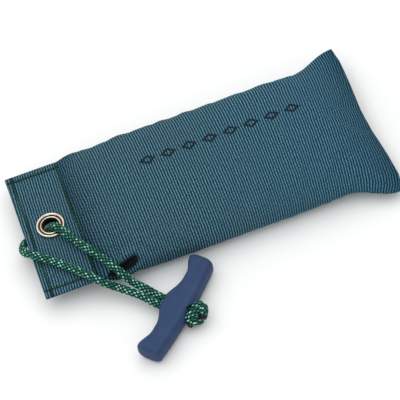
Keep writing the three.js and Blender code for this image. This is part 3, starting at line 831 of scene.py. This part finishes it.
def makeToggle():
    t = toggle
    half = t["length"] / 2
    bpy.ops.object.select_all(action="DESELECT")
    bpy.ops.mesh.primitive_circle_add(vertices=t["around"], radius=1, fill_type="NGON")
    bar = bpy.context.object
    bar.name = "mouldedToggle"
    bpy.ops.object.mode_set(mode="EDIT")
    for _ in range(t["rings"]):
        bpy.ops.mesh.select_all(action="DESELECT")
        bpy.ops.object.mode_set(mode="OBJECT")
        top = max(p.center.z for p in bar.data.polygons)
        for p in bar.data.polygons:
            p.select = abs(p.center.z - top) < 0.1 and abs(p.normal.z) > 0.5
        bpy.ops.object.mode_set(mode="EDIT")
        bpy.ops.mesh.extrude_region_move(TRANSFORM_OT_translate={"value": (0, 0, 1)})
    bpy.ops.mesh.select_all(action="SELECT")
    bpy.ops.mesh.normals_make_consistent(inside=False)
    bpy.ops.object.mode_set(mode="OBJECT")
    g = getPoints(bar)
    v = 2 * g[:, 2] / t["rings"] - 1
    along = half * ((1 - t["crowding"]) * v + t["crowding"] * np.sin(v * np.pi / 2))
    reach = np.abs(along)
    hub = np.where(reach < t["hubSpread"], (1 + np.cos(np.pi * reach / t["hubSpread"])) / 2, 0)
    flare = smooth(reach, t["flareStart"], half - 3)
    cordSide = t["cordSide"] + t["hubBump"] * hub + t["endFlare"] * flare
    farSide = t["farSide"] - t["bow"] * (along / half) ** 2
    rounding = t["endRadius"] * (1 - np.sqrt(1 - np.clip(1 - (half - reach) / t["endRadius"], 0, 1) ** 2))
    n = t["squareness"]
    radius = (np.abs(g[:, 0]) ** n + np.abs(g[:, 1]) ** n) ** (1 / n)
    x, z = g[:, 0] / radius, g[:, 1] / radius
    width = np.where(x < 0, cordSide, farSide) - rounding
    shape = np.stack([x * width, along, z * (t["thickness"] / 2 - rounding)], 1)
    # a thin line along each edge of the flat faces, where the material paints a highlight
    edge = np.abs(np.abs(g[:, 1]) - t["chamferAt"])
    layer = bar.data.attributes.new("chamferHighlight", "FLOAT", "POINT")
    layer.data.foreach_set("value", bell(edge, t["chamferWidth"]))
    turned = np.array([tuple(boreTurn @ Vector(p)) for p in shape]) + np.array(togglePlace["at"])
    setPoints(bar, turned * mm)
    return bar


def drillBore(bar):
    bpy.ops.object.select_all(action="DESELECT")
    bpy.ops.mesh.primitive_cylinder_add(vertices=72, radius=toggle["bore"] * mm, depth=60 * mm)
    tool = bpy.context.object
    turn = boreTurn.to_4x4() @ Matrix.Rotation(math.pi / 2, 4, "Y")
    tool.data.transform(Matrix.Translation(Vector(togglePlace["at"]) * mm) @ turn)
    applyModifier(bar, "BOOLEAN", object=tool, operation="DIFFERENCE", solver="EXACT")
    bpy.data.objects.remove(tool)
    applyModifier(bar, "BEVEL", width=toggle["boreEdge"] * mm, segments=3, limit_method="ANGLE",
                  angle_limit=math.radians(50))


# moulded polypropylene, coloured through: satin, slightly mottled, with a painted highlight along the edges
# of its faces
def mouldedPlastic():
    t = toggle
    material, tree, shader = newMaterial("mouldedPolypropylene")
    place = addNode(tree, placeNode, out="Object")
    mottle = addNode(tree, noiseNode, None, {"Vector": place, "Scale": 60.0, "Detail": 4.0})
    grain = addNode(tree, noiseNode, None, {"Vector": place, "Scale": 900.0, "Detail": 3.0})
    # painted highlight along the edges of the faces
    chamferHighlight = addNode(tree, attributeNode, {"attribute_name": "chamferHighlight"}, out="Fac")
    colour = srgb(t["plastic"])
    stages = ((mottle, 0.35, 0.65, 1.0, t["mottle"]), (chamferHighlight, 0.0, 1.0, 0.22, t["worn"]),
              (grain, 0.5, 0.8, 0.35, t["fleck"]))
    for share, low, high, most, code in stages:
        share = addNode(tree, rangeNode, None, {0: share, 1: low, 2: high, 4: most})
        colour = addNode(tree, mixNode, {"data_type": "RGBA"}, {0: share, 6: colour, 7: srgb(code)}, 2)
    tree.links.new(colour, shader.inputs["Base Color"])
    roughness = addNode(tree, rangeNode, None, {0: grain, 1: 0.3, 2: 0.7, 3: 0.5, 4: 0.66})
    tree.links.new(roughness, shader.inputs["Roughness"])
    shader.inputs["IOR"].default_value = 1.49
    shader.inputs["Specular IOR Level"].default_value = 0.2
    bump = addNode(tree, bumpNode, None, {"Strength": 0.4, "Distance": 0.00015, "Height": grain})
    tree.links.new(bump, shader.inputs["Normal"])
    return material


togglePiece = makeToggle()
drillBore(togglePiece)
dress(togglePiece, mouldedPlastic(), "toggle", smoothShade=False)
bpy.ops.object.shade_smooth_by_angle(angle=math.radians(35))
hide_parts("toggle")
print("toggle made")


# inside pieces keep their solids: a smooth coated film for the liner, a coarse plastic granulate for the
# fill and the same dark green thread in the seams
insideLooks = {
    ("liner_top_sheet", "liner_bottom_sheet"):
        grainedSurface("coatedLinerFilm", "cfd4cf", "dfe3dc", 120.0, 0.4, 0.0004),
    ("granulate_fill",): grainedSurface("plasticGranulate", "a8916f", "cbb794", 480.0, 0.7, 0.0004),
    ("near_side_seam_thread", "far_side_seam_thread", "end_seam_thread"): greenThread,
}
for names, material in insideLooks.items():
    for name in names:
        nodes[name].data.materials.clear()
        nodes[name].data.materials.append(material)


# studio: a matt painted floor that takes a soft shadow, a pale room and two soft lights
studio = dict(
    floor="f4f4f2", floorSize=8.0, floorUnder=0.0005, room="f2f4f6", roomStrength=0.75, keyPower=12.5,
    keySize=1.9, keyAt=(-0.1, 0.25, 1.25), fillPower=1.5, fillSize=1.2, fillAt=(-0.5, -0.7, 0.7))


def makeStudio():
    bpy.ops.object.select_all(action="DESELECT")
    bpy.ops.mesh.primitive_plane_add(size=studio["floorSize"], location=(0, 0, -studio["floorUnder"]))
    floor = bpy.context.object
    floor.name = "floor"
    material, tree, shader = newMaterial("paintedFloor")
    shader.inputs["Base Color"].default_value = srgb(studio["floor"])
    shader.inputs["Roughness"].default_value = 0.8
    floor.data.materials.append(material)
    world = bpy.data.worlds.new("room")
    world.use_nodes = True
    background = world.node_tree.nodes["Background"]
    background.inputs[0].default_value = srgb(studio["room"])
    background.inputs[1].default_value = studio["roomStrength"]
    bpy.context.scene.world = world
    for name, power, at, size in (("key", studio["keyPower"], studio["keyAt"], studio["keySize"]),
                                  ("fill", studio["fillPower"], studio["fillAt"], studio["fillSize"])):
        data = bpy.data.lights.new(name, "AREA")
        data.energy = power
        data.size = size
        light = bpy.data.objects.new(name, data)
        bpy.context.scene.collection.objects.link(light)
        light.location = at
        light.rotation_euler = (-Vector(at)).to_track_quat("-Z", "Y").to_euler()
    bpy.context.scene.view_settings.view_transform = "Standard"


makeStudio()
print("studio made")
